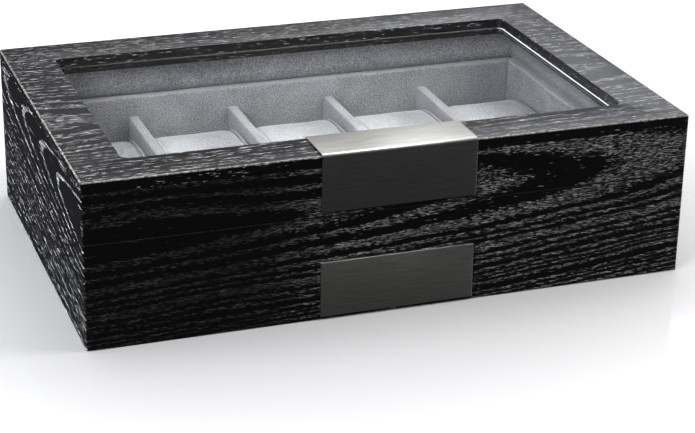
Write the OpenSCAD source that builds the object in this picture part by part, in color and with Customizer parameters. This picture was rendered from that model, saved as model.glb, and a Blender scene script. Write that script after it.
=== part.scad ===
// Watch box: a veneered case with a glazed, hinged lid, velour-lined compartments and a
// removable pillow in each. It stands on its felt underside. X runs from left to right, the
// front faces -Y and Z points up. The origin is under the middle of the case.

/* [Case] */
// Width of the case
case_w = 320; // [220:1:440]
// Depth of the case, without plates and hinges
case_d = 210; // [160:1:300]
// Height of the base, from the table to the seam
base_h = 56; // [50:1:90]
// Height of the lid, from the seam to the top of the wood
lid_h = 32; // [26:1:60]
// Thickness of the case walls
wall_t = 10; // [8.5:0.5:14]
// Radius of the eased upright corners
corner_r = 1.2; // [0.4:0.1:4]
// Radius of the eased edge round the top
arris_r = 0.8; // [0.3:0.1:2]

/* [Underside] */
// Thickness of the bottom panel
bottom_t = 5; // [3:0.5:9]
// How far the bottom panel reaches into the walls
bottom_seat = 5; // [3:0.5:7]
// Thickness of the felt under the bottom panel
felt_t = 1.5; // [1:0.1:3]
// How far the felt stands below the walls
felt_proud = 0.5; // [0.2:0.1:0.9]
// Gap round the felt, inside the walls
felt_inset = 1; // [0.5:0.5:4]

/* [Window] */
// Width of the wood border round the window
border = 26; // [22:1:50]
// Corner radius of the window
window_r = 4; // [1:0.5:12]
// Thickness of the top panel
top_t = 6; // [4:0.5:10]
// Thickness of the glass
glass_t = 3; // [2:0.5:5]
// How far the glass runs under the border
glass_lap = 8; // [4:0.5:10]
// Thickness of the frame's lip under the glass
frame_lip_t = 3; // [2:0.5:5]
// How far the frame's opening is set back from the window
frame_reveal = 1; // [0:0.5:3]

/* [Linings] */
// Thickness of the padded linings in the base
base_lining_t = 5.5; // [3:0.5:9]
// Thickness of the linings in the lid
lid_lining_t = 3; // [2:0.5:4]
// How far the base linings stop below the seam
lining_drop = 0.2; // [0:0.1:2]
// How far the lid linings stop above the seam
lid_lining_gap = 2; // [0.5:0.5:4]
// Thickness of the padded floor lining
floor_t = 2; // [1:0.5:5]
// Radius of the velour where it wraps over an edge
velour_r = 0.8; // [0.4:0.1:2.4]

/* [Compartments] */
// Compartments from left to right
columns = 5; // [3:1:6]
// Thickness of the dividers
divider_t = 5.6; // [3:0.2:8]
// How far the dividers stop below the seam
divider_drop = 12; // [4:1:20]

/* [Pillows] */
// Height of a pillow
pillow_h = 31.5; // [20:0.5:36]
// Gap between a pillow and its neighbours on the left and right
pillow_side_gap = 2.4; // [1:0.1:6]
// Gap in front of a pillow and behind it, where the watch strap goes
pillow_end_gap = 9.2; // [3:0.1:15]
// Radius of a pillow's rolled front and back
pillow_roll_r = 15.5; // [6:0.5:16]
// Radius of a pillow's corners, seen from above
pillow_corner_r = 2; // [1:0.5:9]
// Radius of the crown over the top of a pillow
pillow_crown_r = 130; // [90:5:400]

/* [Steel plates] */
// Width of both plates
plate_w = 82; // [30:1:140]
// Thickness of the steel
plate_t = 1.2; // [0.6:0.1:2]
// Inside radius of the bend over the lid's front edge
plate_bend_r = 0.6; // [0.2:0.1:1.5]
// Gap between the grip's lower edge and the seam
grip_seam_gap = 2.5; // [1:0.5:8]
// Gap between the grip's back edge and the window
grip_window_gap = 0.8; // [0:0.1:5]
// Height of the plate on the base
base_plate_h = 29.5; // [10:0.5:36]
// Height of that plate's lower edge above the table
base_plate_z = 2; // [1:0.5:12]

/* [Hinges] */
// Distance from the middle of the case to each hinge
hinge_x = 100; // [45:1:130]
// Length of a hinge
hinge_l = 34; // [24:1:50]
// Thickness of a hinge leaf
leaf_t = 1.1; // [0.8:0.1:1.6]
// How far a leaf reaches over the rim
leaf_reach = 7; // [6:0.5:8]
// Radius of the knuckles
knuckle_r = 2.5; // [2.2:0.1:3.5]
// Radius of the hinge pin
pin_r = 1.1; // [0.8:0.05:1.5]
// Radius of the stop shoulders behind the pin
stop_r = 4.2; // [3.8:0.1:6]
// Angle at which the shoulders of the two leaves meet
stop_angle = 96; // [91:1:110]
// Radius of a screw's shank
screw_r = 1.1; // [0.8:0.1:1.4]
// Radius of a screw's head
screw_head_r = 2.1; // [1.6:0.1:2.6]
// Length of a screw under its head
screw_l = 8; // [5:0.5:12]

/* [Hidden] */
$fn = 64;

KNUCKLES = 5;
SCREWS = 3;
ROWS = ["front", "back"];
SIDES = ["front", "back", "left", "right"];

// Clearances
glue_gap = 0.2;      // behind each lining
panel_gap = 0.1;     // round the bottom panel in its rabbet
glass_gap = 0.5;     // round the glass in its seat
slot_gap = 0.2;      // beside a divider in its halving slot
pillow_floor_gap = 0.3;
leaf_gap = 0.1;      // between each leaf and the plane of the seam
gain_gap = 0.1;      // round a leaf in its gain
barrel_gap = 0.2;    // between the wood and the barrel
knuckle_gap = 0.2;   // between neighbouring knuckles
pin_gap = 0.05;      // round the pin
screw_gap = 0.05;    // round a screw
over = 1;            // how far a cutting shape runs past what it cuts

// Heights above the table
case_h = base_h + lid_h;
bottom_z = felt_t;
tray_z = bottom_z + bottom_t;
floor_z = tray_z + floor_t;
divider_z = base_h - divider_drop;
panel_z = case_h - top_t;
glass_z = panel_z - glass_t;
frame_z = glass_z - frame_lip_t;
lid_lining_z = base_h + lid_lining_gap;

// Half sizes of the tray, inside the base linings
lining_in = wall_t + glue_gap + base_lining_t;
tray_x = case_w / 2 - lining_in;
tray_y = case_d / 2 - lining_in;

// Window and glass
window_w = case_w - 2 * border;
window_d = case_d - 2 * border;
glass_w = window_w + 2 * glass_lap;
glass_d = window_d + 2 * glass_lap;

// Compartments and pillows
pitch = (2 * tray_x + divider_t) / columns;
cell_w = pitch - divider_t;
cell_d = tray_y - divider_t / 2;
pillow_w = cell_w - 2 * pillow_side_gap;
pillow_d = cell_d - 2 * pillow_end_gap;

// Hinge axis, at the height of the seam behind the back wall
axis_out = knuckle_r + barrel_gap;
axis_y = case_d / 2 + axis_out;
knuckle_l = (hinge_l - (KNUCKLES - 1) * knuckle_gap) / KNUCKLES;
screw_pitch = hinge_l / SCREWS;
pin_head_r = pin_r + 0.5;
pin_head_l = 0.6;

// ---------- Outlines ----------

// A rectangle with round corners, centred
module round_rect(w, d, r) {
    square([w - 2 * r, d], center = true);
    square([w, d - 2 * r], center = true);
    for (x = [-1, 1], y = [-1, 1])
        translate([x * (w / 2 - r), y * (d / 2 - r)])
            circle(r);
}

// Section of a velour-covered board: its foot on the X axis, its upper edges rolled over
module board_section(t, h) {
    r = min(velour_r, t / 2 - 0.05);
    square([t, h - r]);
    translate([r, 0])
        square([t - 2 * r, h]);
    for (x = [r, t - r])
        translate([x, h - r])
            circle(r);
}

// A round bar of radius r along X, centred
module x_rod(r, l) {
    rotate([0, 90, 0])
        cylinder(r = r, h = l, center = true);
}

// Extrudes a section drawn in Y and Z along X, centred
module along_x(l) {
    rotate([90, 0, 90])
        linear_extrude(l, center = true)
            children();
}

// ---------- The ring of four sides ----------

// Turns a shape that was drawn for the front or the left into the one for the given side
module to_side(side) {
    flip = side == "back" ? [0, 1, 0] : side == "right" ? [1, 0, 0] : undef;
    if (flip == undef)
        children();
    else
        mirror(flip)
            children();
}

// A mitred bar of one side, between two insets from the outside of the case
module mitred_bar(side, outer, inner, h) {
    across = side == "front" || side == "back";
    ox = case_w / 2 - outer;
    oy = case_d / 2 - outer;
    ix = case_w / 2 - inner;
    iy = case_d / 2 - inner;
    to_side(side)
        linear_extrude(h)
            polygon(across
                ? [[-ox, -oy], [ox, -oy], [ix, -iy], [-ix, -iy]]
                : [[-ox, -oy], [-ix, -iy], [-ix, iy], [-ox, oy]]);
}

// A board that follows one side, with its foot at z = 0 and its upper edges rolled over
module lining(side, inset, t, h) {
    across = side == "front" || side == "back";
    intersection() {
        mitred_bar(side, inset, inset + t, h);
        to_side(side)
            if (across)
                translate([0, inset - case_d / 2, 0])
                    along_x(case_w)
                        board_section(t, h);
            else
                translate([inset - case_w / 2, 0, 0])
                    rotate([90, 0, 0])
                        linear_extrude(case_d, center = true)
                            board_section(t, h);
    }
}

// The case's outside, with eased upright corners
module case_block(h) {
    linear_extrude(h)
        round_rect(case_w, case_d, corner_r);
}

// ---------- Base ----------

module base_wall(side) {
    rabbet_in = wall_t - bottom_seat;
    color("#1d1d20")
        difference() {
            intersection() {
                translate([0, 0, felt_proud])
                    mitred_bar(side, 0, wall_t, base_h - felt_proud);
                case_block(base_h);
            }
            linear_extrude(tray_z)
                square([case_w - 2 * rabbet_in, case_d - 2 * rabbet_in], center = true);
            if (side == "back")
                each_hinge()
                    leaf_gain();
        }
}

module bottom_panel() {
    rabbet_in = wall_t - bottom_seat + panel_gap;
    color("#2a2522")
        translate([0, 0, bottom_z])
            linear_extrude(bottom_t)
                square([case_w - 2 * rabbet_in, case_d - 2 * rabbet_in], center = true);
}

module felt_sheet() {
    inset = wall_t - bottom_seat + felt_inset;
    color("#17171a")
        linear_extrude(felt_t)
            square([case_w - 2 * inset, case_d - 2 * inset], center = true);
}

module floor_lining() {
    color("#6f7175")
        translate([0, 0, tray_z])
            linear_extrude(floor_t)
                square(2 * [tray_x, tray_y], center = true);
}

module base_lining(side) {
    color("#6f7175")
        translate([0, 0, tray_z])
            lining(side, wall_t + glue_gap, base_lining_t, base_h - lining_drop - tray_z);
}

module base_plate() {
    color("#8d8f8c")
        translate([-plate_w / 2, -case_d / 2 - plate_t, base_plate_z])
            cube([plate_w, plate_t, base_plate_h]);
}

// ---------- Dividers ----------

// Place of the cross divider on the right of column i
function divider_x(i) = (i - columns / 2) * pitch;

// Cuts a halving slot for a divider that runs the other way, from height z up
module halving_slot(z, h) {
    w = divider_t + 2 * slot_gap;
    translate([-w / 2, -w / 2, z])
        cube([w, w, h]);
}

module long_divider() {
    half_z = (floor_z + divider_z) / 2;
    color("#7b7d81")
        difference() {
            translate([0, -divider_t / 2, floor_z])
                along_x(2 * tray_x)
                    board_section(divider_t, divider_z - floor_z);
            for (i = [1:columns - 1])
                translate([divider_x(i), 0, 0])
                    halving_slot(half_z, divider_z - half_z + over);
        }
}

module cross_divider(i) {
    half_z = (floor_z + divider_z) / 2;
    color("#7b7d81")
        translate([divider_x(i), 0, 0])
            difference() {
                translate([-divider_t / 2, 0, floor_z])
                    rotate([90, 0, 0])
                        linear_extrude(2 * tray_y, center = true)
                            board_section(divider_t, divider_z - floor_z);
                halving_slot(floor_z - over, half_z - floor_z + over);
            }
}

// ---------- Pillows ----------

// Section across a pillow, drawn in Y and Z with its foot at z = 0
module pillow_section() {
    roll_r = min(pillow_roll_r, pillow_h / 2 - 0.05);
    intersection() {
        translate([0, pillow_h / 2])
            round_rect(pillow_d, pillow_h, roll_r);
        translate([0, pillow_h - pillow_crown_r])
            circle(pillow_crown_r, $fn = 256);
    }
}

module pillow(row, column) {
    y = (cell_d + divider_t) / 2 * (row == "front" ? -1 : 1);
    color("#b9bbc0")
        translate([(column - (columns + 1) / 2) * pitch, y, floor_z + pillow_floor_gap])
            intersection() {
                along_x(pillow_w)
                    pillow_section();
                linear_extrude(pillow_h)
                    round_rect(pillow_w, pillow_d, pillow_corner_r);
            }
}

// ---------- Lid ----------

module lid_wall(side) {
    color("#1d1d20")
        difference() {
            translate([0, 0, base_h])
                intersection() {
                    mitred_bar(side, 0, wall_t, lid_h - top_t);
                    case_block(lid_h - top_t);
                }
            if (side == "back")
                each_hinge()
                    mirror([0, 0, 1])
                        leaf_gain();
        }
}

// Section through the top panel, drawn with its underside on the X axis and its upper edges eased
module eased_slab(w) {
    translate([-w / 2, 0])
        square([w, top_t - arris_r]);
    translate([arris_r - w / 2, 0])
        square([w - 2 * arris_r, top_t]);
    for (x = [-1, 1])
        translate([x * (w / 2 - arris_r), top_t - arris_r])
            circle(arris_r);
}

module lid_top_panel() {
    color("#26262a")
        translate([0, 0, panel_z])
            difference() {
                intersection() {
                    case_block(top_t);
                    along_x(case_w)
                        eased_slab(case_d);
                    rotate([90, 0, 0])
                        linear_extrude(case_d, center = true)
                            eased_slab(case_w);
                }
                translate([0, 0, -over])
                    linear_extrude(top_t + 2 * over)
                        round_rect(window_w, window_d, window_r);
            }
}

module glass_pane() {
    color("#cfdadb", 0.35)
        translate([0, 0, glass_z])
            linear_extrude(glass_t)
                square([glass_w, glass_d], center = true);
}

module glazing_frame() {
    inset = wall_t + glue_gap;
    color("#5f6165")
        difference() {
            translate([0, 0, frame_z])
                linear_extrude(panel_z - frame_z)
                    square([case_w - 2 * inset, case_d - 2 * inset], center = true);
            translate([0, 0, frame_z - over])
                linear_extrude(panel_z - frame_z + 2 * over)
                    round_rect(window_w + 2 * frame_reveal, window_d + 2 * frame_reveal, window_r);
            translate([0, 0, glass_z])
                linear_extrude(glass_t + over)
                    square([glass_w + 2 * glass_gap, glass_d + 2 * glass_gap], center = true);
        }
}

// Its rolled edge points down, so the board is drawn upside down
module lid_lining(side) {
    color("#6f7175")
        translate([0, 0, frame_z])
            mirror([0, 0, 1])
                lining(side, wall_t + glue_gap, lid_lining_t, frame_z - lid_lining_z);
}

// Bent from one strip: a leg on the top, a leg down the front and the bend between them
module grip_plate() {
    top_l = border - grip_window_gap;
    front_l = lid_h - grip_seam_gap;
    bend_out = plate_bend_r + plate_t;
    color("#a9aba8")
        translate([0, -case_d / 2, case_h])
            along_x(plate_w) {
                translate([plate_bend_r, 0])
                    square([top_l - plate_bend_r, plate_t]);
                translate([-plate_t, -front_l])
                    square([plate_t, front_l - plate_bend_r]);
                translate([plate_bend_r, -plate_bend_r])
                    difference() {
                        intersection() {
                            circle(bend_out);
                            translate([-bend_out, 0])
                                square(bend_out);
                        }
                        circle(plate_bend_r);
                    }
            }
}

// ---------- Hinges: drawn with the pin's middle at the origin, as the base leaf lies ----------

module each_hinge() {
    for (x = [-hinge_x, hinge_x])
        translate([x, axis_y, base_h])
            children();
}

// Middle of knuckle k, counted from 0 on the left
function knuckle_x(k) = (k - (KNUCKLES - 1) / 2) * (knuckle_l + knuckle_gap);

// Place of each screw in a leaf
module each_screw() {
    for (k = [0:SCREWS - 1])
        translate([(k - (SCREWS - 1) / 2) * screw_pitch, -axis_out - leaf_reach / 2, -leaf_gap])
            children();
}

// A screw pointing down with its head at z = 0, grown by a gap all round
module screw(gap) {
    head_l = leaf_t;
    translate([0, 0, -head_l])
        cylinder(r1 = screw_r + gap, r2 = screw_head_r + gap, h = head_l);
    translate([0, 0, -head_l - screw_l - gap])
        cylinder(r = screw_r + gap, h = screw_l + gap);
}

// What is cut out of the back wall for a leaf and its screws
module leaf_gain() {
    reach = leaf_reach + gain_gap;
    depth = leaf_gap + leaf_t;
    translate([-hinge_l / 2 - gain_gap, -axis_out - reach, -depth])
        cube([hinge_l + 2 * gain_gap, reach + over, depth + over]);
    each_screw()
        screw(screw_gap);
}

// Section of a stop shoulder: a sector behind the pin and below it
module stop_section() {
    from = -stop_angle / 2;
    to = -100;
    far = 2 * stop_r;
    intersection() {
        circle(stop_r);
        polygon([
            [0, 0],
            far * [cos(from), sin(from)],
            far * [cos((from + to) / 2), sin((from + to) / 2)],
            far * [cos(to), sin(to)]
        ]);
    }
}

// A leaf with the knuckles of one parity, 0 for the base and 1 for the lid
module leaf(parity) {
    others = [for (k = [0:KNUCKLES - 1]) if (k % 2 != parity) k];
    own = [for (k = [0:KNUCKLES - 1]) if (k % 2 == parity) k];
    difference() {
        union() {
            translate([-hinge_l / 2, -axis_out - leaf_reach, -leaf_gap - leaf_t])
                cube([hinge_l, axis_out + leaf_reach, leaf_t]);
            for (k = own)
                translate([knuckle_x(k), 0, 0])
                    x_rod(knuckle_r, knuckle_l);
            along_x(hinge_l)
                stop_section();
        }
        for (k = others)
            translate([knuckle_x(k), 0, 0])
                x_rod(knuckle_r + barrel_gap, knuckle_l + 2 * knuckle_gap);
        x_rod(pin_r + pin_gap, hinge_l + 2 * over);
        each_screw()
            screw(screw_gap);
    }
}

module base_hinge_leaves() {
    color("#a3a4a6")
        each_hinge()
            leaf(0);
}

module lid_hinge_leaves() {
    color("#a3a4a6")
        each_hinge()
            mirror([0, 0, 1])
                leaf(1);
}

module hinge_pins() {
    color("#a3a4a6")
        each_hinge() {
            x_rod(pin_r, hinge_l + 2 * knuckle_gap);
            for (x = [-1, 1])
                translate([x * (hinge_l / 2 + knuckle_gap + pin_head_l / 2), 0, 0])
                    x_rod(pin_head_r, pin_head_l);
        }
}

module base_hinge_screws() {
    color("#a3a4a6")
        each_hinge()
            each_screw()
                screw(0);
}

module lid_hinge_screws() {
    color("#a3a4a6")
        each_hinge()
            mirror([0, 0, 1])
                each_screw()
                    screw(0);
}

// ---------- Assembly ----------

for (s = SIDES) {
    base_wall(s);
    base_lining(s);
    lid_wall(s);
    lid_lining(s);
}
for (i = [1:columns - 1])
    cross_divider(i);
for (r = ROWS)
    for (i = [1:columns])
        pillow(r, i);
bottom_panel();
felt_sheet();
floor_lining();
long_divider();
base_plate();
base_hinge_leaves();
base_hinge_screws();
lid_top_panel();
glass_pane();
glazing_frame();
grip_plate();
lid_hinge_leaves();
lid_hinge_screws();
hinge_pins();
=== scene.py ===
import math

import bmesh
import bpy
from mathutils import Matrix, Vector
from mathutils.noise import seed_set, turbulence_vector


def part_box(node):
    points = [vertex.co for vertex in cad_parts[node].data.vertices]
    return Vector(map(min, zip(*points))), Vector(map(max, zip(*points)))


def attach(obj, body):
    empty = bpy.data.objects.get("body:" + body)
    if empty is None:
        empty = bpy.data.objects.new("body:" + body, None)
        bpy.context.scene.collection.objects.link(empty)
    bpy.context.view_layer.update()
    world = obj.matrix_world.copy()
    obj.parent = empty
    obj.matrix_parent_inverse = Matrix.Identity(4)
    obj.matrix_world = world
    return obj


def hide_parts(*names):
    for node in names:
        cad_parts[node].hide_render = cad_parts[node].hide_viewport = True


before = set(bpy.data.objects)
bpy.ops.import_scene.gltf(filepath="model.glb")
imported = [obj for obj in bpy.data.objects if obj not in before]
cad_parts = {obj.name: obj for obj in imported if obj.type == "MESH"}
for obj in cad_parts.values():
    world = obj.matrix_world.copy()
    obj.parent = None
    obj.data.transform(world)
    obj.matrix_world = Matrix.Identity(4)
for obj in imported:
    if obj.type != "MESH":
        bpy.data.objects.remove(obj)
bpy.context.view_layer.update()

scene = bpy.context.scene

# ---------- Studio ----------
# A long lens, and a sheet of white acrylic to stand on. Soft boxes hang overhead, behind and above
# the grip, with a key from the right, a fill from the left and a low one beside the left wall. The
# room is dark in front, so that the black case reads as black.

LENS = 102.38                            # mm
CAMERA_AT = (-0.3323, -0.9515, 0.4344)
CAMERA_AZIMUTH = math.radians(-19.823)   # to the left of straight in front
CAMERA_ELEVATION = math.radians(22.884)
CAMERA_ROLL = math.radians(0.981)

scene.view_settings.view_transform = "Standard"


def linear(hex_colour):
    """An sRGB hex colour as linear RGBA."""
    parts = [int(hex_colour[i : i + 2], 16) / 255 for i in (1, 3, 5)]
    return [c / 12.92 if c <= 0.04045 else ((c + 0.055) / 1.055) ** 2.4 for c in parts] + [1.0]


def add(tree, kind, inputs=None, **settings):
    """Adds a node. inputs gives a value, a socket or a node (its first output) for each input."""
    node = tree.nodes.new(kind)
    for name, value in settings.items():
        setattr(node, name, value)
    for key, value in (inputs or {}).items():
        if isinstance(value, bpy.types.Node):
            value = value.outputs[0]
        if isinstance(value, bpy.types.NodeSocket):
            tree.links.new(value, node.inputs[key])
        else:
            node.inputs[key].default_value = value
    return node


back = Vector((
    math.sin(CAMERA_AZIMUTH) * math.cos(CAMERA_ELEVATION),
    -math.cos(CAMERA_AZIMUTH) * math.cos(CAMERA_ELEVATION),
    math.sin(CAMERA_ELEVATION),
))
level = Vector((math.cos(CAMERA_AZIMUTH), math.sin(CAMERA_AZIMUTH), 0))
upright = back.cross(level)
right = level * math.cos(CAMERA_ROLL) + upright * math.sin(CAMERA_ROLL)
up = upright * math.cos(CAMERA_ROLL) - level * math.sin(CAMERA_ROLL)
camera = bpy.data.objects.new("camera", bpy.data.cameras.new("camera"))
camera.data.lens = LENS
camera.matrix_world = Matrix((right, up, back)).transposed().to_4x4()
camera.location = CAMERA_AT
scene.collection.objects.link(camera)
scene.camera = camera

# The room: white to the eye, but the glass mirrors a dark strip low down behind, and the lacquer
# and the steel catch the bright wall above it. It is dark in front and below.
world = bpy.data.worlds.new("studio")
world.use_nodes = True
scene.world = world
sky = world.node_tree
sky.nodes.clear()
toward = add(sky, "ShaderNodeSeparateXYZ", {0: add(sky, "ShaderNodeTexCoord").outputs["Generated"]})
behind = add(sky, "ShaderNodeMapRange", {
    "Value": toward.outputs["Y"], "From Min": -0.5, "From Max": 0.6, "To Min": 0.06, "To Max": 0.5,
}, interpolation_type="SMOOTHSTEP")
above = add(sky, "ShaderNodeMapRange", {
    "Value": toward.outputs["Z"], "From Min": 0.38, "From Max": 0.66, "To Min": 0.04, "To Max": 3.4,
}, interpolation_type="SMOOTHSTEP")
sideways = add(sky, "ShaderNodeMapRange", {
    "Value": toward.outputs["X"], "From Min": 0.1, "From Max": 0.5, "To Min": 0.6, "To Max": 1.2,
})
ceiling = add(sky, "ShaderNodeMapRange", {
    "Value": toward.outputs["Z"], "From Min": 0.84, "From Max": 0.96, "To Min": 0.045, "To Max": 1.4,
}, interpolation_type="SMOOTHSTEP")
mirrored = add(sky, "ShaderNodeMath", {0: behind, 1: above}, operation="MULTIPLY")
mirrored = add(sky, "ShaderNodeMath", {0: mirrored, 1: sideways, 2: ceiling}, operation="MULTIPLY_ADD")
# White paper low down at the far right draws a line down the right edges of the plates
paper = add(sky, "ShaderNodeMapRange", {
    "Value": toward.outputs["X"], "From Min": 0.72, "From Max": 0.88, "To Min": 0.0, "To Max": 2.0,
})
low_down = add(sky, "ShaderNodeMapRange", {
    "Value": toward.outputs["Z"], "From Min": -0.27, "From Max": -0.33, "To Min": 0.0, "To Max": 1.0,
})
mirrored = add(sky, "ShaderNodeMath", {0: paper, 1: low_down, 2: mirrored}, operation="MULTIPLY_ADD")
room = add(sky, "ShaderNodeBackground", {"Color": linear("#f6f8ff"), "Strength": mirrored})
white = add(sky, "ShaderNodeBackground", {"Color": (1, 1, 1, 1), "Strength": 1.05})
# White is seen directly or through the glass, but not by way of a mirror or a lit surface
ray = add(sky, "ShaderNodeLightPath").outputs
seen_through = add(sky, "ShaderNodeMath", {
    0: ray["Is Camera Ray"], 1: ray["Is Transmission Ray"],
}, operation="MAXIMUM")
bounces = add(sky, "ShaderNodeMath", {0: ray["Glossy Depth"], 1: ray["Diffuse Depth"]}, operation="ADD")
straight = add(sky, "ShaderNodeMath", {0: bounces, 1: 0.5}, operation="LESS_THAN")
straight = add(sky, "ShaderNodeMath", {0: straight, 1: seen_through}, operation="MULTIPLY")
seen = add(sky, "ShaderNodeMixShader", {0: straight, 1: room, 2: white})
add(sky, "ShaderNodeOutputWorld", {"Surface": seen})

# name, position, aim, size, radiance, colour
SOFT_BOXES = (
    ("overhead", (0.1, 0.5, 1.2), (0, 0, 0), (1.5, 1.0), 1.7, "#fffdf8"),
    ("strip_back", (0.85, 1.3, 0.95), (0, 0, 0.05), (0.6, 0.3), 4.0, "#f4f7ff"),
    ("bend", (0.37, -0.05, 1.2), (0, -0.1, 0.09), (0.5, 0.35), 8.0, "#fffdfa"),
    ("key_right", (0.66, -0.3, 1.0), (0, 0, 0.03), (0.35, 0.35), 18.0, "#fffaf4"),
    ("fill_left", (-0.76, -0.55, 0.7), (0, 0, 0.03), (0.5, 0.5), 12.5, "#fafbff"),
    ("side_left", (-1.0, 0.05, 0.1), (-0.16, 0, 0.05), (0.6, 0.07), 115.0, "#f4f6ff"),
)
for name, position, aim, size, radiance, colour in SOFT_BOXES:
    lamp = bpy.data.lights.new(name, "AREA")
    lamp.shape = "RECTANGLE"
    lamp.size, lamp.size_y = size
    lamp.energy = radiance * math.pi * size[0] * size[1]
    lamp.color = linear(colour)[:3]
    box = bpy.data.objects.new(name, lamp)
    box.location = position
    box.rotation_euler = (Vector(position) - Vector(aim)).to_track_quat("Z", "Y").to_euler()
    # The key, the fill and the low one do not show in lacquer, steel and glass
    box.visible_glossy = name in ("overhead", "strip_back", "bend")
    # One is only there to draw the bright line along the bend of the grip
    box.visible_diffuse = name != "bend"
    scene.collection.objects.link(box)

FLOOR_REACH = 8
corners = [(x * FLOOR_REACH, y * FLOOR_REACH, 0) for x, y in ((-1, -1), (1, -1), (1, 1), (-1, 1))]
floor_mesh = bpy.data.meshes.new("floor")
floor_mesh.from_pydata(corners, [], [(0, 1, 2, 3)])
floor = bpy.data.objects.new("floor", floor_mesh)
scene.collection.objects.link(floor)
floor.visible_glossy = floor.visible_diffuse = False
sweep = bpy.data.materials.new("white_acrylic_sheet")
sweep.use_nodes = True
paint = sweep.node_tree
paint.nodes.clear()
matt = add(paint, "ShaderNodeBsdfDiffuse", {"Color": linear("#bababa")})
# Painted light and shade: the sheet glows more the further it lies from a point under the case, so it is
# painted white towards its rim and painted grey, as shade, under the case
place = add(paint, "ShaderNodeTexCoord").outputs["Object"]
away = add(paint, "ShaderNodeMapping", {
    "Vector": place, "Location": (0.04, 0.02, 0.0), "Scale": (0.8, 1.0, 1.0),
})
away = add(paint, "ShaderNodeVectorMath", {0: away}, operation="LENGTH").outputs["Value"]
painted_glow_strength = add(paint, "ShaderNodeMapRange", {
    "Value": away, "From Min": 0.11, "From Max": 0.4, "To Min": 0.0, "To Max": 0.64,
}, interpolation_type="SMOOTHSTEP")
painted_glow = add(paint, "ShaderNodeEmission", {"Color": (1, 1, 1, 1), "Strength": painted_glow_strength})
matt_and_painted_glow = add(paint, "ShaderNodeAddShader", {0: matt, 1: painted_glow})
shine = add(paint, "ShaderNodeBsdfGlossy", {"Color": (1, 1, 1, 1), "Roughness": 0.08})
sheet = add(paint, "ShaderNodeMixShader", {0: 0.1, 1: matt_and_painted_glow, 2: shine})
add(paint, "ShaderNodeOutputMaterial", {"Surface": sheet})
floor.data.materials.append(sweep)

# ---------- Case walls and top panel ----------
# Boards veneered with plain-sawn oak, stained black, its open pores rubbed with silver-white
# lime wax and then lacquered satin. Mitred walls; the veneer of each side was cut across the
# closed case, so its figure runs on over the seam.

BASE_EASE = 0.0005                # how far the arrises of the base are eased at the seam
LID_EASE = 0.0003                 # and those of the lid
WINDOW_EASE = 0.0004              # and the upper edge of the window
RUBBED = 0.0015                   # how far in from an arris the stain is rubbed thin and painted paler as a highlight
MERGED = 1e-6                     # points closer together than this are one
LEVEL = 1e-5                      # and heights closer than this are one height
MITRE = 0.003                     # a mitre's edge is longer than this
LARGE = 5e-5                      # and a face larger than this is a large one
FLAT = math.radians(0.5)          # faces that differ less than this are one face
ARRIS = math.radians(60)          # the least turn of an edge that is eased
CURVED = math.radians(35)         # faces that differ less than this are shaded as one curve


def material(name):
    """A new material with only its output and a Principled shader, as (material, tree, shader)."""
    made = bpy.data.materials.new(name)
    made.use_nodes = True
    tree = made.node_tree
    tree.nodes.clear()
    shader = add(tree, "ShaderNodeBsdfPrincipled")
    add(tree, "ShaderNodeOutputMaterial", {"Surface": shader})
    return made, tree, shader


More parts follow.
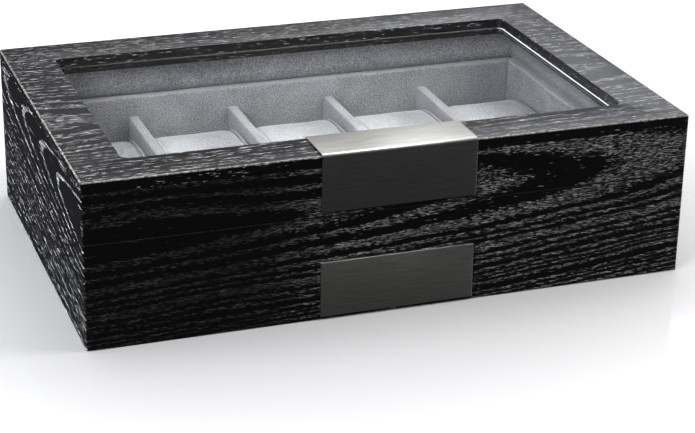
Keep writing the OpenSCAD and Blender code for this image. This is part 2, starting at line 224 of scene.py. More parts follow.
def limed_oak(name, along, across, heart, depth, rise, ring, phase, seed, hurry=0.0, tilt=0.0,
              lime="#eceff4", pore=(4.2, 0.42), fullness=0.7, porous=0.7, wax_ramp=None, calm=1.0):
    """Limed black oak: satin black, with silver-white dashes that draw its year rings.

    along and across are the object axes of the grain; two axes across are added up, so that one
    edge's faces can turn either way. The veneer is a slice depth mm from the heart, which rise and
    hurry tilt and bow along the grain, so its rings of ring mm show as long arches round the line
    across = heart, which tilt leans. phase shifts the rings, and seed all that is uneven. pore is
    the length and width that one limed pore takes up, in mm: about twice the real width of 0.25 mm,
    so that pores show. porous is the share of a ring that has pores, and fullness how many of them
    are open there. Between the two places of wiped, along the grain, the wax gets fuller, from its
    third number to 1. calm scales the waves of the fibres.
    """
    made, tree, shader = material(name)
    place = add(tree, "ShaderNodeTexCoord").outputs["Object"]
    place = add(tree, "ShaderNodeVectorMath", {0: place, "Scale": 1000.0}, operation="SCALE")
    mm = add(tree, "ShaderNodeSeparateXYZ", {0: place})
    u, v = mm.outputs[along], mm.outputs[across[0]]
    if len(across) == 2:
        v = add(tree, "ShaderNodeMath", {0: v, 1: mm.outputs[across[1]]}, operation="ADD")

    # Waves of the fibres: how long and how wide each is, and how far it moves them
    wave = []
    for length, width, size, shift in ((120, 40, 10.0, seed), (34, 9, 2.4, seed + 7.3)):
        stretched = add(tree, "ShaderNodeCombineXYZ", {
            0: add(tree, "ShaderNodeMath", {0: u, 1: float(length)}, operation="DIVIDE"),
            1: add(tree, "ShaderNodeMath", {0: v, 1: float(width)}, operation="DIVIDE"),
            2: shift,
        })
        noise = add(tree, "ShaderNodeTexNoise", {"Vector": stretched, "Scale": 1.0, "Detail": 2.0})
        centred = add(tree, "ShaderNodeMath", {0: noise, 1: 0.5}, operation="SUBTRACT")
        wave.append(add(tree, "ShaderNodeMath", {0: centred, 1: size * calm}, operation="MULTIPLY"))
    waves = add(tree, "ShaderNodeMath", {0: wave[0], 1: wave[1]}, operation="ADD")

    # The rings, counted by their distance from the heart
    bent = add(tree, "ShaderNodeMath", {0: v, 1: waves}, operation="ADD")
    bent = add(tree, "ShaderNodeMath", {0: u, 1: -tilt, 2: bent}, operation="MULTIPLY_ADD")
    from_heart = add(tree, "ShaderNodeMath", {0: bent, 1: float(heart)}, operation="SUBTRACT")
    bow = add(tree, "ShaderNodeMath", {0: u, 1: hurry, 2: rise}, operation="MULTIPLY_ADD")
    slice_depth = add(tree, "ShaderNodeMath", {0: u, 1: bow, 2: float(depth)}, operation="MULTIPLY_ADD")
    slice_depth = add(tree, "ShaderNodeMath", {
        0: wave[1], 1: 0.15, 2: slice_depth,
    }, operation="MULTIPLY_ADD")
    radius = add(tree, "ShaderNodeVectorMath", {
        0: add(tree, "ShaderNodeCombineXYZ", {0: from_heart, 1: slice_depth}),
    }, operation="LENGTH").outputs["Value"]
    year = add(tree, "ShaderNodeMath", {0: radius, 1: 1 / ring, 2: phase}, operation="MULTIPLY_ADD")
    uneven = add(tree, "ShaderNodeTexNoise", {
        "W": year, "Scale": 0.45, "Detail": 1.0,
    }, noise_dimensions="1D")
    year = add(tree, "ShaderNodeMath", {0: uneven, 1: 1.4, 2: year}, operation="MULTIPLY_ADD")
    season = add(tree, "ShaderNodeMath", {0: year}, operation="FRACT")
    # Pores crowd at the start of each year's growth and die out before its end
    early = add(tree, "ShaderNodeMapRange", {
        "Value": season, "From Min": 0.0, "From Max": 0.12,
    }, interpolation_type="SMOOTHSTEP")
    late = add(tree, "ShaderNodeMapRange", {
        "Value": season, "From Min": 0.36 * porous, "From Max": porous, "To Min": 1.0, "To Max": 0.0,
    }, interpolation_type="SMOOTHSTEP")
    crowd = add(tree, "ShaderNodeMath", {0: early, 1: late}, operation="MULTIPLY")
    crowd = add(tree, "ShaderNodeMath", {0: crowd, 1: fullness, 2: 0.01}, operation="MULTIPLY_ADD")

    # Pores cut lengthwise are dashes, in two sizes: each cell holds one, shown or not by how
    # crowded they are
    fibre = add(tree, "ShaderNodeMath", {0: waves, 1: 0.45, 2: v}, operation="MULTIPLY_ADD")
    dashes = []
    for share, stagger, shift in ((1.0, 0.618, seed + 3.1), (0.62, -0.382, seed + 5.7)):
        rows_per_mm = 1 / (pore[1] * share ** 0.5)
        pores_per_mm = 1 / (pore[0] * share)
        row = add(tree, "ShaderNodeMath", {0: fibre, 1: rows_per_mm, 2: shift}, operation="MULTIPLY_ADD")
        # Each row of cells starts at another place, so that the pores do not stand in columns
        start = add(tree, "ShaderNodeMath", {0: row, 1: stagger, 2: shift}, operation="MULTIPLY_ADD")
        column = add(tree, "ShaderNodeMath", {0: u, 1: pores_per_mm, 2: start}, operation="MULTIPLY_ADD")
        cell = add(tree, "ShaderNodeCombineXYZ", {0: column, 1: row})
        dash = add(tree, "ShaderNodeTexVoronoi", {
            "Vector": cell, "Scale": 1.0, "Randomness": 1.0,
        }, voronoi_dimensions="2D")
        luck = add(tree, "ShaderNodeSeparateXYZ", {0: dash.outputs["Color"]})
        there = add(tree, "ShaderNodeMath", {0: luck.outputs["X"], 1: crowd}, operation="LESS_THAN")
        from_middle = dash.outputs["Distance"]
        shape = add(tree, "ShaderNodeMapRange", {
            "Value": from_middle, "From Min": 0.2, "From Max": 0.45, "To Min": 1.0, "To Max": 0.0,
        })
        filled = add(tree, "ShaderNodeMath", {0: luck.outputs["Y"], 1: 2.0}, operation="POWER")
        filled = add(tree, "ShaderNodeMapRange", {"Value": filled, "To Min": 0.03, "To Max": 1.0})
        dash = add(tree, "ShaderNodeMath", {0: there, 1: shape}, operation="MULTIPLY")
        dashes.append(add(tree, "ShaderNodeMath", {0: dash, 1: filled}, operation="MULTIPLY"))
    wax = add(tree, "ShaderNodeMath", {0: dashes[0], 1: dashes[1]}, operation="MAXIMUM")
    # The wax was wiped along the grain, and left more in some places than in others
    rubbed = add(tree, "ShaderNodeTexNoise", {"Vector": add(tree, "ShaderNodeCombineXYZ", {
        0: add(tree, "ShaderNodeMath", {0: u, 1: 0.09}, operation="MULTIPLY"),
        1: add(tree, "ShaderNodeMath", {0: v, 1: 0.4}, operation="MULTIPLY"),
        2: seed + 2,
    }), "Scale": 1.0, "Detail": 2.0})
    rubbed = add(tree, "ShaderNodeMapRange", {
        "Value": rubbed, "From Min": 0.35, "From Max": 0.65, "To Min": 0.45, "To Max": 1.0,
    })
    wax = add(tree, "ShaderNodeMath", {0: wax, 1: rubbed}, operation="MULTIPLY")
    # Between the two places of wax_ramp the limed pores get paler along the grain; on the front they are
    # dim at the left and full towards the right
    if wax_ramp:
        left = add(tree, "ShaderNodeMapRange", {
            "Value": u, "From Min": wax_ramp[0], "From Max": wax_ramp[1], "To Min": wax_ramp[2], "To Max": 1.0,
        }, interpolation_type="SMOOTHSTEP")
        wax = add(tree, "ShaderNodeMath", {0: wax, 1: left}, operation="MULTIPLY")

    colour = add(tree, "ShaderNodeMix", {0: wax, 6: linear("#070708"), 7: linear(lime)}, data_type="RGBA")
    tree.links.new(colour.outputs[2], shader.inputs["Base Color"])
    rough = add(tree, "ShaderNodeMapRange", {"Value": wax, "To Min": 0.36, "To Max": 0.6})
    tree.links.new(rough.outputs[0], shader.inputs["Roughness"])
    relief = add(tree, "ShaderNodeMath", {0: wax, 1: -1.0}, operation="MULTIPLY")
    bump = add(tree, "ShaderNodeBump", {"Height": relief, "Strength": 0.3, "Distance": 0.0001})
    tree.links.new(bump.outputs[0], shader.inputs["Normal"])
    return made


def worn_oak_with_painted_highlight(name, deep, pale):
    """Oak along an arris, where the stain is rubbed thin and the brown-grey wood shows through, painted
    paler still as a highlight where the eased edge would catch the light.
    """
    made, tree, shader = material(name)
    place = add(tree, "ShaderNodeTexCoord").outputs["Object"]
    wear_and_highlight = add(tree, "ShaderNodeTexNoise", {"Vector": place, "Scale": 400.0, "Detail": 3.0})
    wear_and_highlight = add(tree, "ShaderNodeMapRange", {"Value": wear_and_highlight, "From Min": 0.35, "From Max": 0.7})
    colour = add(tree, "ShaderNodeMix", {0: wear_and_highlight, 6: linear(deep), 7: linear(pale)}, data_type="RGBA")
    tree.links.new(colour.outputs[2], shader.inputs["Base Color"])
    shader.inputs["Roughness"].default_value = 0.3
    return made


# The veneer of each side, the solid oak of edges along X and along Y, and the rubbed arrises with their
# painted highlight
finishes = {
    "front": limed_oak("limed_oak_front", "X", "Z", 62, 150, 0.0072, 1.0, 0.98, 1.0,
                       hurry=1.8e-5, tilt=0.04, lime="#f1f0ee", wax_ramp=(-80, -10, 0.12)),
    "back": limed_oak("limed_oak_back", "X", "Z", 50, 140, -0.03, 1.2, 0.6, 14.0),
    "left": limed_oak("limed_oak_left", "Y", "Z", 72, 34, 0.05, 2.6, 0.55, 4.0, tilt=0.06,
                      lime="#ffffff", pore=(20.0, 0.65), fullness=1.0, porous=0.32, calm=0.45),
    "right": limed_oak("limed_oak_right", "Y", "Z", 58, 80, -0.07, 1.5, 0.3, 23.0),
    "top": limed_oak("limed_oak_top", "X", "Y", -20, 100, 0.03, 2.2, 0.1, 9.0,
                     lime="#ffffff", pore=(6.0, 0.42), fullness=0.45),
    "edge_x": limed_oak("stained_oak_edge", "X", "YZ", 0, 90, 0.02, 3.0, 0.0, 31.0, fullness=0.1),
    "edge_y": limed_oak("stained_oak_edge_across", "Y", "XZ", 0, 90, 0.02, 3.0, 0.0, 37.0,
                        fullness=0.15),
    # The arrises and the seam are partly worn stain and partly a painted highlight, paler where their eased
    # edges would catch the light
    "arris": worn_oak_with_painted_highlight("worn_oak_arris_painted_highlight", "#34322f", "#a8a49e"),
    "seam": worn_oak_with_painted_highlight("worn_oak_seam_painted_highlight", "#0a0a0a", "#22201e"),
}


def packed_copy(node, name, ease=0.0, picked=None):
    """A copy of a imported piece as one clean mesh, with the edges that picked(a, b) chooses eased."""
    mesh = bmesh.new()
    mesh.from_mesh(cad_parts[node].data)
    bmesh.ops.remove_doubles(mesh, verts=mesh.verts, dist=MERGED)
    bmesh.ops.dissolve_limit(mesh, angle_limit=FLAT, verts=mesh.verts, edges=mesh.edges)
    if ease:
        sharp = [e for e in mesh.edges if e.calc_face_angle(0) > ARRIS]
        arrises = [e for e in sharp if picked is None or picked(*[p.co for p in e.verts])]
        bmesh.ops.bevel(mesh, geom=arrises, offset=ease, segments=3, profile=0.5, affect="EDGES")
    data = bpy.data.meshes.new(name)
    mesh.to_mesh(data)
    mesh.free()
    # A large flat face keeps its own normal, so that the eased edges beside it do not bend it
    for face in data.polygons:
        square_on = max(abs(c) for c in face.normal) >= 0.999
        face.use_smooth = face.area < LARGE or not square_on
    data.set_sharp_from_angle(angle=CURVED)
    piece = bpy.data.objects.new(name, data)
    scene.collection.objects.link(piece)
    return piece


def board(node, body, ease, picked, is_edge):
    """A wooden piece with eased, rubbed arrises painted paler as a highlight, and the veneer of each side
    it shows.
    is_edge(normal) is true for its faces of solid oak."""
    name = node.replace("_wall", "_board").replace("_panel", "_board").replace("_frame", "_rails")
    piece = packed_copy(node, name, ease, picked)
    for made in finishes.values():
        piece.data.materials.append(made)
    order = list(finishes)
    for face in piece.data.polygons:
        n, at = face.normal, face.center
        outside = max(abs(at.x) - corner.x, abs(at.y) - corner.y) > -RUBBED
        slanting = 0.2 < abs(n.z) < 0.97
        upright = abs(n.z) < 0.71
        along_x = abs(n.y) > abs(n.x) if upright else abs(at.y) * corner.x > abs(at.x) * corner.y
        if outside and slanting:
            finish = "seam" if abs(at.z - seam) < RUBBED else "arris"
        elif is_edge(n):
            finish = "edge_x" if along_x else "edge_y"
        elif not upright:
            finish = "top"
        elif along_x:
            finish = "front" if n.y < 0 else "back"
        else:
            finish = "left" if n.x < 0 else "right"
        face.material_index = order.index(finish)
    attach(piece, body)
    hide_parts(node)


corner = Vector(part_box("lid_top_panel")[1])
seam = Vector(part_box("base_front_wall")[1]).z


def at_seam(a, b):
    """True for the edges where base and lid meet, round the corners too, but not for the mitres."""
    d = b - a
    mitre = abs(abs(d.x) - abs(d.y)) < LEVEL and d.length > MITRE
    return abs(a.z - seam) < LEVEL and abs(b.z - seam) < LEVEL and not mitre


def round_window(a, b):
    """True for the upper edge of the window."""
    border = 0.01
    inside = all(abs(p.x) < corner.x - border and abs(p.y) < corner.y - border for p in (a, b))
    return inside and all(abs(p.z - corner.z) < LEVEL for p in (a, b))


# The rims of the walls and the edges of the top panel are solid oak, with few open pores
for side in ("front", "back", "left", "right"):
    board(f"base_{side}_wall", "base", BASE_EASE, at_seam, lambda n: abs(n.z) > 0.5)
    board(f"lid_{side}_wall", "lid", LID_EASE, at_seam, lambda n: abs(n.z) > 0.5)
board("lid_top_panel", "lid", WINDOW_EASE, round_window, lambda n: abs(n.z) < 0.6)
board("glazing_frame", "lid", 0.0, None, lambda n: True)

# ---------- Underside ----------
# A thin bottom board in a rabbet of the walls, stained like them, with a sheet of black needled
# felt glued under it for the case to stand on.

# Felt has no shine, only a soft haze. Its fibres are about 0.1 mm thick, and drawn as 0.5 mm clumps
felt, tree, shader = material("needled_felt")
place = add(tree, "ShaderNodeTexCoord").outputs["Object"]
clumps = add(tree, "ShaderNodeTexNoise", {
    "Vector": place, "Scale": 2000.0, "Detail": 4.0, "Roughness": 0.7,
})
patches = add(tree, "ShaderNodeTexNoise", {"Vector": place, "Scale": 60.0, "Detail": 2.0})
shade = add(tree, "ShaderNodeMath", {0: clumps, 1: patches}, operation="MULTIPLY")
tone = add(tree, "ShaderNodeMapRange", {"Value": shade, "From Min": 0.12, "From Max": 0.42})
colour = add(tree, "ShaderNodeMix", {0: tone, 6: linear("#0b0b0d"), 7: linear("#303034")}, data_type="RGBA")
tree.links.new(colour.outputs[2], shader.inputs["Base Color"])
bump = add(tree, "ShaderNodeBump", {"Height": clumps, "Strength": 0.6, "Distance": 0.0003})
tree.links.new(bump.outputs[0], shader.inputs["Normal"])
shader.inputs["Roughness"].default_value = 0.95
shader.inputs["Specular IOR Level"].default_value = 0.2
shader.inputs["Sheen Weight"].default_value = 0.3


def dress(node, finish):
    """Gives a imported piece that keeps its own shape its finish."""
    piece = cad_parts[node]
    if not piece.material_slots:
        piece.data.materials.append(finish)
    for slot in piece.material_slots:
        slot.material = finish


# Stained, but not limed: its pores are only a little paler
dress("bottom_panel", limed_oak("stained_bottom_board", "X", "Y", 40, 90, 0.02, 3.0, 0.0, 41.0,
                                lime="#3a3836", fullness=0.3))
dress("felt_sheet", felt)

# ---------- Velour linings ----------
# Thin boards with a layer of foam, wrapped in grey velour and glued inside the case. The velour
# rolls over the base's upper edges, just below the seam, and hangs below the lid's boards.

HIGHLIT_EDGE = 0.0015           # how far the painted highlight reaches round the base's upper edge
HANG = 0.0018           # how far the lid's velour hangs below its board
HANG_FROM = 0.003       # from this far above the board's foot
SHADED = 0.006          # how far up the lid's foot the painted shade reaches
FOAM_GRAIN = 0.001      # the finest fold that the foam under the velour shows


def velour(name, deep, light):
    """Short-pile velour, woven and brushed: the pile leans in patches, and its tips catch light at a
    glance. A piece's attribute "pile" paints it paler above 0.5, a painted highlight, and darker below 0.5,
    painted shade."""
    made, tree, shader = material(name)
    place = add(tree, "ShaderNodeTexCoord").outputs["Object"]
    # A pile of 0.05 mm tufts would be lost, so it is drawn as 0.8 mm tufts
    tufts = add(tree, "ShaderNodeTexNoise", {
        "Vector": place, "Scale": 1300.0, "Detail": 2.0, "Roughness": 0.6,
    })
    nap = add(tree, "ShaderNodeTexNoise", {
        "Vector": place, "Scale": 45.0, "Detail": 3.0, "Distortion": 0.6,
    })
    shade = add(tree, "ShaderNodeMath", {0: nap, 1: 0.3, 2: tufts}, operation="MULTIPLY_ADD")
    # Painted highlight and painted shade: the attribute "pile" moves the tone up or down
    pile = add(tree, "ShaderNodeAttribute", attribute_name="pile").outputs["Fac"]
    pile = add(tree, "ShaderNodeMath", {0: pile, 1: 0.5, 2: -0.25}, operation="MULTIPLY_ADD")
    shade = add(tree, "ShaderNodeMath", {0: shade, 1: pile}, operation="ADD")
    tone = add(tree, "ShaderNodeMapRange", {"Value": shade, "From Min": 0.5, "From Max": 0.8})
    colour = add(tree, "ShaderNodeMix", {0: tone, 6: linear(deep), 7: linear(light)}, data_type="RGBA")
    tree.links.new(colour.outputs[2], shader.inputs["Base Color"])
    height = add(tree, "ShaderNodeMath", {0: tufts, 1: 0.4, 2: nap}, operation="MULTIPLY_ADD")
    bump = add(tree, "ShaderNodeBump", {"Height": height, "Strength": 0.22, "Distance": 0.0004})
    tree.links.new(bump.outputs[0], shader.inputs["Normal"])
    shader.inputs["Roughness"].default_value = 0.9
    shader.inputs["Specular IOR Level"].default_value = 0.25
    shader.inputs["Sheen Weight"].default_value = 1.0
    shader.inputs["Sheen Roughness"].default_value = 0.3
    return made


def evaluated(source, name):
    """What an object's modifiers make of it, as a plain object. The source is removed."""
    mesh = bpy.data.meshes.new_from_object(source.evaluated_get(bpy.context.evaluated_depsgraph_get()))
    bpy.data.objects.remove(source)
    mesh.name = name
    piece = bpy.data.objects.new(name, mesh)
    scene.collection.objects.link(piece)
    return piece


def paint_pile_light(piece, paleness):
    """Stores at each point of a piece, from 0 to 1, how pale its velour is painted: a painted highlight
    above 0.5 and painted shade below it.
    """
    pile = piece.data.attributes.new("pile", "FLOAT", "POINT")
    for vertex, value in zip(piece.data.vertices, pile.data):
        value.value = min(1.0, max(0.0, paleness(vertex.co)))


grey_velour = velour("grey_velour", "#707276", "#b3b5b9")
for side in ("front", "back", "left", "right"):
    for body in ("base", "lid"):
        node = f"{body}_{side}_lining"
        pad = packed_copy(node, node + "_raw")
        remesh = pad.modifiers.new("foam", "REMESH")
        remesh.mode = "VOXEL"
        remesh.voxel_size = FOAM_GRAIN
        remesh.use_smooth_shade = True
        smooth = pad.modifiers.new("soften", "SMOOTH")
        smooth.iterations = 2
        smooth.factor = 0.5
        pad = evaluated(pad, f"{body}_{side}_pad")
        # Painted highlight: the velour is painted paler over the base's upper edge. Painted shade: it is
        # painted darker at the lid's foot
        if body == "base":
            paint_pile_light(pad, lambda p: 0.5 + 0.5 * max(0.0, (p.z - seam) / HIGHLIT_EDGE + 1))
        else:
            foot = min(v.co.z for v in pad.data.vertices)
            for vertex in pad.data.vertices:
                vertex.co.z -= HANG * max(0.0, 1 - (vertex.co.z - foot) / HANG_FROM)
            paint_pile_light(pad, lambda p: 0.5 - 0.45 * max(0.0, 1 - (p.z - foot + HANG) / SHADED))
        pad.data.materials.clear()
        pad.data.materials.append(grey_velour)
        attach(pad, body)
        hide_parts(node)
dress("floor_lining", grey_velour)
paint_pile_light(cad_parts["floor_lining"], lambda p: 0.5)

# ---------- Dividers ----------
# One long and four cross boards, halved over each other, each wrapped in the same velour with a
# round top edge. They stand on the floor lining and end at the wall linings.

ROLL = 0.0009           # radius of the velour over the top edge
PROUD = 0.0001          # how far the long board stands proud where the boards cross
SUNK = 0.0006           # how far their feet press into the floor lining
HIGHLIT_TOP = 0.0011         # how far down the rolled top edge the painted highlight reaches
FOLD = math.radians(40)  # a turn of the velour sharper than this shows as an edge
CROSS = [f"cross_divider_{i}" for i in (1, 2, 3, 4)]


def interface(tree, **inputs):
    """Names a node tree's inputs, each with its socket type. Returns its input and output nodes."""
    for name, kind in inputs.items():
        label = name.replace("_", " ")
        tree.interface.new_socket(name=label, in_out="INPUT", socket_type="NodeSocket" + kind)
    tree.interface.new_socket(name="Geometry", in_out="OUTPUT", socket_type="NodeSocketGeometry")
    return tree.nodes.new("NodeGroupInput"), tree.nodes.new("NodeGroupOutput")


def grown(name, tree, sizes, path=None):
    """The plain mesh that a Geometry Nodes tree makes with these sizes, along a path if it has one."""
    source = bpy.data.objects.new(name + "_source", path or bpy.data.meshes.new(name + "_source"))
    scene.collection.objects.link(source)
    modifier = source.modifiers.new("grown", "NODES")
    modifier.node_group = tree
    for socket in tree.interface.items_tree:
        if socket.in_out == "INPUT" and socket.name in sizes:
            modifier[socket.identifier] = sizes[socket.name]
    return evaluated(source, name)


dividers = bpy.data.node_groups.new("wrapped_dividers", "GeometryNodeTree")
given, result = interface(
    dividers, Count="Int", Pitch="Float", Thickness="Float", Foot="Float", Top="Float",
    Cross_Length="Float", Long_Length="Float", Roll="Float", Proud="Float", Velour="Material",
)
size = given.outputs
rise = add(dividers, "ShaderNodeMath", {0: size["Top"], 1: size["Foot"]}, operation="SUBTRACT")
middle = add(dividers, "ShaderNodeMath", {0: size["Top"], 1: size["Foot"]}, operation="ADD")
middle = add(dividers, "ShaderNodeMath", {0: middle, 1: 0.5}, operation="MULTIPLY")
outline = add(dividers, "GeometryNodeCurvePrimitiveQuadrilateral", {
    "Width": size["Thickness"], "Height": rise,
})
outline = add(dividers, "GeometryNodeFilletCurve", {
    "Curve": outline, "Radius": size["Roll"], "Count": 8,
}, mode="POLY")
boards = []
for length in ("Cross Length", "Long Length"):
    half = add(dividers, "ShaderNodeMath", {0: size[length], 1: 0.5}, operation="MULTIPLY")
    less = add(dividers, "ShaderNodeMath", {0: half, 1: -1.0}, operation="MULTIPLY")
    run = add(dividers, "GeometryNodeCurvePrimitiveLine", {
        "Start": add(dividers, "ShaderNodeCombineXYZ", {"Y": less}),
        "End": add(dividers, "ShaderNodeCombineXYZ", {"Y": half}),
    })
    boards.append(add(dividers, "GeometryNodeCurveToMesh", {
        "Curve": run, "Profile Curve": outline, "Fill Caps": True,
    }))
gaps = add(dividers, "ShaderNodeMath", {0: size["Count"], 1: 1.0}, operation="SUBTRACT")
first = add(dividers, "ShaderNodeMath", {0: gaps, 1: size["Pitch"]}, operation="MULTIPLY")
first = add(dividers, "ShaderNodeMath", {0: first, 1: -0.5}, operation="MULTIPLY")
places = add(dividers, "GeometryNodeMeshLine", {
    "Count": size["Count"],
    "Start Location": add(dividers, "ShaderNodeCombineXYZ", {"X": first, "Z": middle}),
    "Offset": add(dividers, "ShaderNodeCombineXYZ", {"X": size["Pitch"]}),
})
row = add(dividers, "GeometryNodeInstanceOnPoints", {"Points": places, "Instance": boards[0]})
above_cross = add(dividers, "ShaderNodeMath", {0: middle, 1: size["Proud"]}, operation="ADD")
long_board = add(dividers, "GeometryNodeTransform", {
    "Geometry": boards[1],
    "Translation": add(dividers, "ShaderNodeCombineXYZ", {"Z": above_cross}),
    "Rotation": (0, 0, math.pi / 2),
})
both = add(dividers, "GeometryNodeJoinGeometry", {"Geometry": row})
dividers.links.new(long_board.outputs[0], both.inputs[0])
solid = add(dividers, "GeometryNodeRealizeInstances", {"Geometry": both})
wrapped = add(dividers, "GeometryNodeSetMaterial", {"Geometry": solid, "Material": size["Velour"]})
dividers.links.new(wrapped.outputs[0], result.inputs[0])

cross_low, cross_high = [Vector(c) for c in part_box(CROSS[0])]
long_low, long_high = [Vector(c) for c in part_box("long_divider")]
partition = grown("velour_dividers", dividers, {
    "Count": len(CROSS),
    "Pitch": Vector(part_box(CROSS[1])[0]).x - cross_low.x,
    "Thickness": cross_high.x - cross_low.x,
    "Foot": long_low.z - SUNK,
    "Top": long_high.z,
    "Cross Length": cross_high.y - cross_low.y,
    "Long Length": long_high.x - long_low.x,
    "Roll": ROLL,
    "Proud": PROUD,
    "Velour": grey_velour,
})
for face in partition.data.polygons:
    face.use_smooth = True
partition.data.set_sharp_from_angle(angle=FOLD)
# Painted highlight: the velour is painted a little paler along the rolled top edge
paint_pile_light(partition, lambda p: 0.65 if p.z > long_high.z - HIGHLIT_TOP else 0.5)
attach(partition, "base")
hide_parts("long_divider", *CROSS)

# ---------- Pillows ----------
# A soft roll of foam in a sleeve of silver-grey velour, closed at the left and right by a flat
# side panel. A thin welt runs round each of these two seams. A watch is buckled round it.

silver_velour = velour("silver_velour", "#898d92", "#bec1c5")
WELT = 0.00085          # radius of the cord in a seam
WELT_IN = 0.0012        # from the side panel to the middle of the welt
WELT_SUNK = 0.0014      # how far the welt's middle lies under the pillow's outline
CROWN = 0.13            # radius of the crown over the top, from front to back
HELD = 0.0065           # how far in from a side panel the sewing holds the sleeve
LET_GO = 0.003          # and over what width it lets go
STEPS = 20              # steps in which the stuffing fills the sleeve
PUFF = 0.0009           # the most that the stuffing pushes the sleeve out
DENT = 0.0004           # depth of the dents that handling leaves
DENTS = 55              # and how many there are to a metre
FLAT_STEPS = 18         # points along the flat top or bottom, from front to back
END_STEPS = 12          # round each end
WIDE_STEPS = 14         # and from seam to seam
# Outline of the sleeve near a side panel: how far in from the panel, and how far under the outline
SEAM = ((0.0, 0.0022), (0.0003, 0.0015), (0.0012, 0.0013), (0.0022, 0.0022), (0.0027, 0.0015),
        (0.0035, 0.0008), (0.0048, 0.0004), (0.0068, 0.0001))

low, high = [Vector(c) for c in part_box("pillow_front_3")]
half_x, half_y, tall = (high.x - low.x) / 2, (high.y - low.y) / 2, high.z - low.z


def section(sunk):
    """Outline across a pillow, sunk under its real outline: flat below, crowned above, round ends."""
    r = tall / 2 - sunk
    flat = half_y - tall / 2
    angles = [math.pi * k / END_STEPS for k in range(END_STEPS)]
    points = []
    # Forwards over the top and down round the front end, then back below and up round the back end
    for way in (1, -1):
        across = [flat - 2 * flat * k / FLAT_STEPS for k in range(FLAT_STEPS)]
        points += [(way * y, tall / 2 + way * r) for y in across]
        points += [(-way * (flat + r * math.sin(t)), tall / 2 + way * r * math.cos(t)) for t in angles]
    return [(y, z - max(0.0, 2 * z / tall - 1) * y * y / (2 * CROWN)) for y, z in points]


def sewn_sleeve():
    """The sleeve before it is stuffed, with its two side panels."""
    left = [(d - half_x, sunk) for d, sunk in SEAM]
    right = [(-x, sunk) for x, sunk in reversed(left)]
    start, width = left[-1][0], right[0][0] - left[-1][0]
    between = [(start + width * k / WIDE_STEPS, SEAM[-1][1]) for k in range(1, WIDE_STEPS)]
    shell = bmesh.new()
    rings = [[shell.verts.new((x, y, z)) for y, z in section(sunk)] for x, sunk in left + between + right]
    for a, b in zip(rings, rings[1:]):
        for k in range(len(a)):
            n = (k + 1) % len(a)
            shell.faces.new((a[k], a[n], b[n], b[k]))
    for panel in (rings[0], rings[-1]):
        shell.faces.new(panel)
    bmesh.ops.recalc_face_normals(shell, faces=shell.faces)
    data = bpy.data.meshes.new("sleeve")
    shell.to_mesh(data)
    shell.free()
    piece = bpy.data.objects.new("sleeve", data)
    scene.collection.objects.link(piece)
    return piece


def stuff(piece):
    """Lets pressure fill the sleeve while its seams hold, and keeps it off its neighbours."""
    before = [v.co.copy() for v in piece.data.vertices]
    seams = piece.vertex_groups.new(name="seams")
    for i, p in enumerate(before):
        edge = min(1.0, max(0.0, (abs(p.x) - (half_x - HELD)) / LET_GO))
        seams.add([i], max(edge, 1.0 if p.z < LET_GO else 0.0), "REPLACE")
    cloth = piece.modifiers.new("stuffing", "CLOTH")
    cloth.settings.quality = 6
    cloth.settings.tension_stiffness = cloth.settings.compression_stiffness = 5
    cloth.settings.bending_stiffness = 0.1
    cloth.settings.use_pressure = True
    cloth.settings.uniform_pressure_force = 20
    cloth.settings.vertex_group_mass = "seams"
    cloth.settings.effector_weights.gravity = 0
    for step in range(1, STEPS + 1):
        scene.frame_set(step)
    puffed = bpy.data.meshes.new_from_object(piece.evaluated_get(bpy.context.evaluated_depsgraph_get()))
    piece.modifiers.remove(cloth)
    scene.frame_set(1)
    for vertex, old, new in zip(piece.data.vertices, before, puffed.vertices):
        push = new.co - old
        vertex.co = old + push * min(1.0, PUFF / max(push.length, 1e-9))
    bpy.data.meshes.remove(puffed)


pattern = sewn_sleeve()
stuff(pattern)

cord = bpy.data.node_groups.new("cord_along_path", "GeometryNodeTree")
given, result = interface(cord, Path="Geometry", Radius="Float", Sides="Int", Cover="Material")
line = add(cord, "GeometryNodeMeshToCurve", {"Mesh": given.outputs["Path"]})
circle = add(cord, "GeometryNodeCurvePrimitiveCircle", {
    "Radius": given.outputs["Radius"], "Resolution": given.outputs["Sides"],
})
tube = add(cord, "GeometryNodeCurveToMesh", {"Curve": line, "Profile Curve": circle})
tube = add(cord, "GeometryNodeSetShadeSmooth", {"Geometry": tube})
tube = add(cord, "GeometryNodeRealizeInstances", {"Geometry": tube})
tube = add(cord, "GeometryNodeSetMaterial", {"Geometry": tube, "Material": given.outputs["Cover"]})
cord.links.new(tube.outputs[0], result.inputs[0])


def loops(name, rings):
    """A mesh of closed rings of points, for a cord to follow."""
    points, lines = [], []
    for ring in rings:
        first = len(points)
        points += ring
        lines += [(first + k, first + (k + 1) % len(ring)) for k in range(len(ring))]
    path = bpy.data.meshes.new(name)
    path.from_pydata(points, lines, [])
    return path


